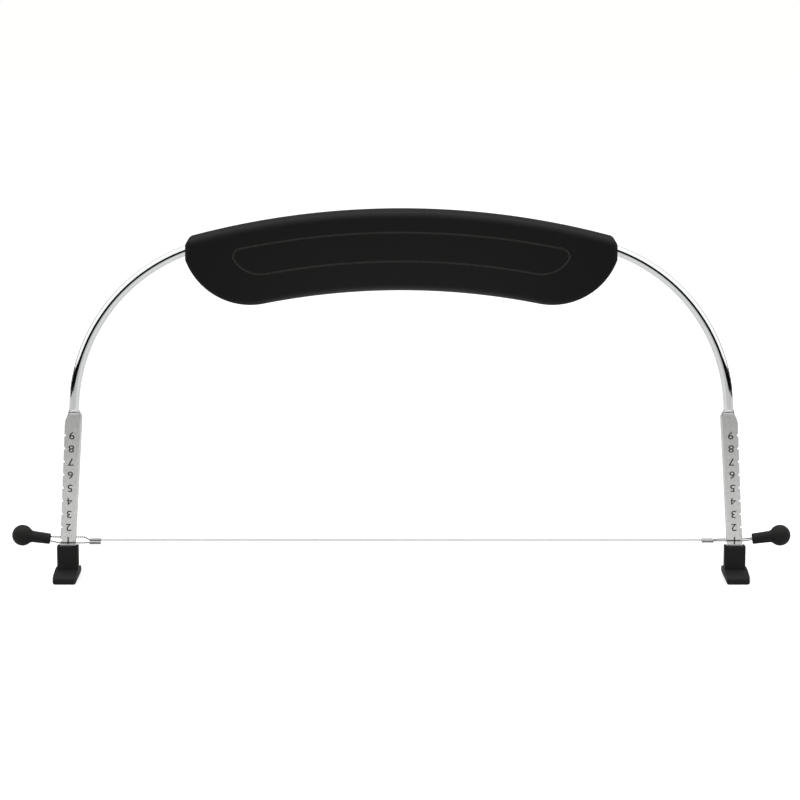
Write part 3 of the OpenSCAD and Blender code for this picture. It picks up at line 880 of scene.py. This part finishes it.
def wire_eye(name, turn):
    """The right-hand eye, turned about the wire."""
    half = (BLADE_T / 2 + STRAND_D / 2 + SLIDE_PLAY) / math.cos(turn)
    hairpin_at = neck_x - past_leg_x + HAIRPIN_LEN - HAIRPIN_R - STRAND_D / 2
    neck_at = (neck_x - past_leg_x) * NECK_SHARE
    inner_end = ferrule_x - CRIMP_LEN + END_GAP
    out = [(inner_end, 0), (ferrule_x, 0), (spread_x, half), (past_leg_x, half)]
    back = [(past_leg_x, -half), (spread_x, -half), (ferrule_x, -BARREL_GAP),
            (inner_end, -BARREL_GAP)]
    points = [eye_point(x, v, turn) for x, v in out]
    points.append(knob_point(neck_at, HAIRPIN_R, turn))
    for i in range(10):
        a = math.radians(90 - 20 * i)
        points.append(knob_point(hairpin_at + HAIRPIN_R * math.cos(a),
                                 HAIRPIN_R * math.sin(a), turn))
    points.append(knob_point(neck_at, -HAIRPIN_R, turn))
    points += [eye_point(x, v, turn) for x, v in back]
    path = rounded(points, CORNER_REACH)
    length = sum((b - a).length for a, b in zip(path, path[1:]))
    line = bpy.data.curves.new(name + "_path", "CURVE")
    line.dimensions = "3D"
    spline = line.splines.new("POLY")
    spline.points.add(len(path) - 1)
    for point, place in zip(spline.points, path):
        point.co = (*place, 1)
    route = bpy.data.objects.new(name + "_path", line)
    bpy.context.scene.collection.objects.link(route)
    eye = twisted(name, length, STRAND_D)
    apply_modifier(eye, "CURVE", object=route, deform_axis="POS_X")
    bpy.data.objects.remove(route)
    print(f"{name}: {length / MM:.1f} mm of wire")
    return eye


right_eye = wire_eye("right_wire_loop", RIGHT_TURN)
left_eye = wire_eye("right_hand_form", LEFT_TURN)
left_twin = mirrored(left_eye, "left_wire_loop")
bpy.data.objects.remove(left_eye)
# The eyes get the darker wire colour: painted shade where they cross the legs.
for eye, node in ((right_eye, "right_wire_eye"), (left_twin, "left_wire_eye")):
    smooth(eye, 60)
    stand_in(eye, node, "wire_set", "wire_steel", eye_wire_shade_paint)

# %% [markdown]
# ## Ferrules
# A short metal sleeve with two barrels is crimped over the wire where it doubles back. The
# wire goes through one barrel, and its end comes back into the other. Two round bars are
# joined, bisected and squeezed at the crimping tool's three bites, and then bored.

# %% Crimp the ferrules
SLEEVE_R = 0.72 * MM
BITE_W = 0.6 * MM
BITE_SQUEEZE = 0.86
BORE_PLAY = 0.03 * MM
SLEEVE_EDGE = 0.08 * MM


def round_bar(name, radius, y, start, end):
    """A round bar along X between two places."""
    bpy.ops.mesh.primitive_cylinder_add(vertices=32, radius=radius, depth=end - start,
                                        location=((start + end) / 2, y, 0),
                                        rotation=(0, math.pi / 2, 0))
    return started(name)


def ferrule(name, turn):
    """The right-hand ferrule, turned with its eye."""
    inboard = ferrule_x - FERRULE_LEN
    sleeve = round_bar(name, SLEEVE_R, 0, inboard, ferrule_x)
    cut(sleeve, round_bar("barrel", SLEEVE_R, -BARREL_GAP, inboard, ferrule_x), "UNION")
    edit(sleeve)
    for mark in (inboard + share * FERRULE_LEN for share in (0.25, 0.5, 0.75)):
        for way in (-1, 1):
            bisect((mark + way * BITE_W / 2, 0, 0), (1, 0, 0))
            bisect((mark + way * BITE_W / 4, 0, 0), (1, 0, 0))
        pick_verts(lambda c: abs(c.x - mark) < BITE_W / 4 + HAIR)
        bpy.ops.transform.resize(value=(1, 1, BITE_SQUEEZE), center_override=(0, 0, 0))
    clear_selection()
    for y in (0, -BARREL_GAP):
        for end in (inboard, ferrule_x):
            cut(sleeve, round_bar("bore", WIRE_D / 2 + BORE_PLAY, y, end - MM / 2, end + MM / 2))
    apply_modifier(sleeve, "BEVEL", width=SLEEVE_EDGE, segments=2, limit_method="ANGLE",
                   angle_limit=math.radians(60))
    tidy_skin(sleeve)
    sleeve.rotation_euler = (turn, 0, 0)
    sleeve.location = (0, 0, NOTCH_Z)
    return settle(sleeve)


right_sleeve = ferrule("right_crimped_sleeve", RIGHT_TURN)
left_form = ferrule("right_hand_form", LEFT_TURN)
left_sleeve = mirrored(left_form, "left_crimped_sleeve")
bpy.data.objects.remove(left_form)
for sleeve, node in ((right_sleeve, "right_ferrule"), (left_sleeve, "left_ferrule")):
    smooth(sleeve, 35)
    stand_in(sleeve, node, "wire_set", "ferrule_metal", crimped)

# %% [markdown]
# ## Knobs
# The knobs are turned shapes: a bored neck that runs through a fillet into a ball. Its profile
# is drawn with one vertex, extruded from point to point, and spun about the X axis.

# %% Turn the knobs
BALL_R = 4.1 * MM
NECK_LEN = 10.9 * MM
NECK_R = 2.1 * MM
NECK_ROOT_R = 2.25 * MM
FILLET_R = 2 * MM
RIM_R = 0.4 * MM
BORE_R = HAIRPIN_R + STRAND_D / 2 + 0.02 * MM


def turned(name, profile, steps):
    """Spins a profile of (along, radius) points about the X axis into a closed skin."""
    bpy.ops.mesh.primitive_plane_add(size=MM, location=(profile[0][0], 0, profile[0][1]))
    shape = started(name)
    edit(shape)
    bpy.ops.mesh.select_all(action="SELECT")
    bpy.ops.mesh.merge(type="CENTER")
    for (x, r), (next_x, next_r) in zip(profile, profile[1:]):
        extrude(next_x - x, 0, next_r - r)
    bpy.ops.mesh.select_all(action="SELECT")
    bpy.ops.mesh.spin(steps=steps, angle=2 * math.pi, center=(0, 0, 0), axis=(1, 0, 0))
    clear_selection()
    tidy_skin(shape)
    return shape


fillet_x = NECK_LEN - math.sqrt((BALL_R + FILLET_R) ** 2 - (NECK_ROOT_R + FILLET_R) ** 2)
fillet_a = math.atan2(NECK_ROOT_R + FILLET_R, NECK_LEN - fillet_x)
# The bore with its bevelled mouth, the rounded rim of the neck, the fillet and the ball.
profile = [(HAIRPIN_LEN, 0), (HAIRPIN_LEN, BORE_R), (0.25 * MM, BORE_R), (0, BORE_R + 0.2 * MM)]
for i in reversed(range(6)):
    a = math.radians(18 * i)
    profile.append((RIM_R * (1 - math.sin(a)), NECK_R - RIM_R * (1 - math.cos(a))))
for i in range(11):
    a = -math.pi / 2 + fillet_a * i / 10
    profile.append((fillet_x + FILLET_R * math.cos(a),
                    NECK_ROOT_R + FILLET_R + FILLET_R * math.sin(a)))
ball_from = math.pi - fillet_a
for i in range(1, 33):
    a = ball_from * (1 - i / 32)
    profile.append((NECK_LEN + BALL_R * math.cos(a), BALL_R * math.sin(a)))
print("knob profile:", len(profile), "points")
right_knob = turned("right_ball_knob", [(x + neck_x - past_leg_x, r) for x, r in profile], 64)
right_knob.rotation_euler = (0, -KNOB_LIFT, 0)
right_knob.location = (past_leg_x, 0, NOTCH_Z)
settle(right_knob)
left_knob = mirrored(right_knob, "left_ball_knob")
for knob, node in ((right_knob, "right_knob"), (left_knob, "left_knob")):
    smooth(knob, 40)
    stand_in(knob, node, "wire_set", "knob_rubber", rubber)

# %% [markdown]
# ## The studio
# The camera stands about 1.2 m in front and looks down by ten degrees, as in the photo. From
# there a long lens fills the frame with the tool, and its perspective is nearly flat.

# %% Camera
TARGET = Vector((-0.0005, 0, 0.0709))
PITCH = math.radians(9.7)
DISTANCE = 1.192
camera_data = bpy.data.cameras.new("camera")
camera_data.sensor_width = 36
camera_data.lens = 138.3
camera_data.clip_end = 60
camera = bpy.data.objects.new("camera", camera_data)
bpy.context.scene.collection.objects.link(camera)
camera.location = TARGET + DISTANCE * Vector((0, -math.cos(PITCH), math.sin(PITCH)))
camera.rotation_euler = (math.pi / 2 - PITCH, 0, 0)
bpy.context.scene.camera = camera
print("camera at:", [round(c, 3) for c in camera.location])

# %% [markdown]
# The floor is white paper that reaches past the frame, so that nothing but white shows behind
# the tool. On its own the paper renders as a pale grey, so it gives off some light that only
# the camera sees. The tool's shadow stays, and the tool isn't lit any brighter.

# %% Floor
STUDIO_WHITE = (1, 1, 0.99, 1)
PAPER_GLOW = 0.5
bpy.ops.mesh.primitive_plane_add(size=6, location=(0, 0, 0))
floor = started("floor")
paper = bpy.data.materials.new("white_paper")
paper.use_nodes = True
nodes, links = paper.node_tree.nodes, paper.node_tree.links
sheet = nodes["Principled BSDF"]
sheet.inputs["Base Color"].default_value = (0.75, 0.75, 0.745, 1)
sheet.inputs["Roughness"].default_value = 0.9
sheet.inputs["Specular IOR Level"].default_value = 0.1
lift = nodes.new("ShaderNodeEmission")
lift.inputs["Color"].default_value = STUDIO_WHITE
seen = nodes.new("ShaderNodeLightPath")
strength = nodes.new("ShaderNodeMath")
strength.operation = "MULTIPLY"
strength.inputs[1].default_value = PAPER_GLOW
links.new(seen.outputs["Is Camera Ray"], strength.inputs[0])
links.new(strength.outputs["Value"], lift.inputs["Strength"])
both = nodes.new("ShaderNodeAddShader")
links.new(sheet.outputs["BSDF"], both.inputs[0])
links.new(lift.outputs["Emission"], both.inputs[1])
links.new(both.outputs["Shader"], nodes["Material Output"].inputs["Surface"])
floor.data.materials.append(paper)
print("floor in m:", [round(c, 1) for c in floor.dimensions])

# %% [markdown]
# Soft light comes from all round, from a white world and one large lamp overhead. The camera
# sees the world as plain white. Bright metal sees it brighter still, as it would see the lit
# walls of a light tent.

# %% World and lamp
WORLD_LIGHT = 0.7
MORE_FOR_CAMERA = 0.3
MORE_FOR_GLOSS = 0.5
world = bpy.data.worlds.new("studio")
bpy.context.scene.world = world
world.use_nodes = True
nodes, links = world.node_tree.nodes, world.node_tree.links
nodes["Background"].inputs["Color"].default_value = STUDIO_WHITE
seen = nodes.new("ShaderNodeLightPath")
in_camera = nodes.new("ShaderNodeMath")
in_camera.operation = "MULTIPLY_ADD"
in_camera.inputs[1].default_value = MORE_FOR_CAMERA
in_camera.inputs[2].default_value = WORLD_LIGHT
links.new(seen.outputs["Is Camera Ray"], in_camera.inputs[0])
in_gloss = nodes.new("ShaderNodeMath")
in_gloss.operation = "MULTIPLY_ADD"
in_gloss.inputs[1].default_value = MORE_FOR_GLOSS
links.new(seen.outputs["Is Glossy Ray"], in_gloss.inputs[0])
links.new(in_camera.outputs["Value"], in_gloss.inputs[2])
links.new(in_gloss.outputs["Value"], nodes["Background"].inputs["Strength"])


def soft_box(name, place, aim, width, height, watts):
    """A rectangular lamp that points at a spot."""
    lamp = bpy.data.lights.new(name, "AREA")
    lamp.shape = "RECTANGLE"
    lamp.size = width
    lamp.size_y = height
    lamp.energy = watts
    holder = bpy.data.objects.new(name, lamp)
    bpy.context.scene.collection.objects.link(holder)
    holder.location = place
    holder.rotation_euler = (Vector(aim) - Vector(place)).to_track_quat("-Z", "Y").to_euler()


soft_box("top_soft_box", (0, -0.1, 1.6), (0, 0, 0.1), 1.6, 1.2, 14)
print("lamps:", len(bpy.data.lights))

# %% [markdown]
# Bright metal only shows what stands round it. In the studio the white table ends half a metre
# in front of the tool, and the room beyond it is dark up to the lamps: that is the black line
# along the rod. The line stays thin round the bends too, so the dark room is high in the middle
# and low at the sides. Cards that only reflections can see stand for the room in front, behind
# and beside, for the bright front of the table, and for the light from below on the grip's
# lower rim.

# %% Cards for the reflections
ROOM_BLACK = (0.004, 0.004, 0.004)
NO_COLOUR = (0, 0, 0)
TABLE_END = 0.56
LOW = 0.002
FAR = 1.5
FAR_SIDE = 2.3
SIDE_TOP = 0.34


def card(name, corners, colour, glow):
    """A card that only glossy rays see."""
    bpy.ops.mesh.primitive_plane_add(size=1)
    board = started(name)
    for vert, corner in zip(board.data.vertices, corners):
        vert.co = corner
    paint = bpy.data.materials.new(name)
    paint.use_nodes = True
    shader = paint.node_tree.nodes["Principled BSDF"]
    shader.inputs["Base Color"].default_value = (*colour, 1)
    shader.inputs["Specular IOR Level"].default_value = 0
    shader.inputs["Emission Color"].default_value = (1, 1, 1, 1)
    shader.inputs["Emission Strength"].default_value = glow
    board.data.materials.append(paint)
    board.visible_camera = False
    board.visible_diffuse = False
    board.visible_transmission = False
    board.visible_shadow = False
    print("card:", board.name)


for name, back in (("room_in_front", -1), ("room_behind", 1)):
    for way in (-1, 1):
        card(name, ((0, back * TABLE_END, LOW), (way * 1.4, back * TABLE_END, LOW),
                    (0, back * FAR, 1.14), (way * FAR_SIDE, back * FAR, SIDE_TOP)),
             ROOM_BLACK, 0)
for way in (-1, 1):
    card("room_beside", ((way * 0.95, -TABLE_END, LOW), (way * 0.95, 0.3, LOW),
                         (way * FAR_SIDE, -FAR, SIDE_TOP), (way * FAR_SIDE, 1.0, 0.22)),
         ROOM_BLACK, 0)
card("table_front", ((-0.9, -TABLE_END, LOW), (0.9, -TABLE_END, LOW),
                     (-0.9, -0.2, LOW), (0.9, -0.2, LOW)), NO_COLOUR, 0.63)
card("glow_below_grip", ((-0.05, -0.06, 0.075), (0.05, -0.06, 0.075),
                         (-0.05, 0.03, 0.075), (0.05, 0.03, 0.075)), NO_COLOUR, 3.2)
bpy.context.scene.view_settings.view_transform = "Standard"
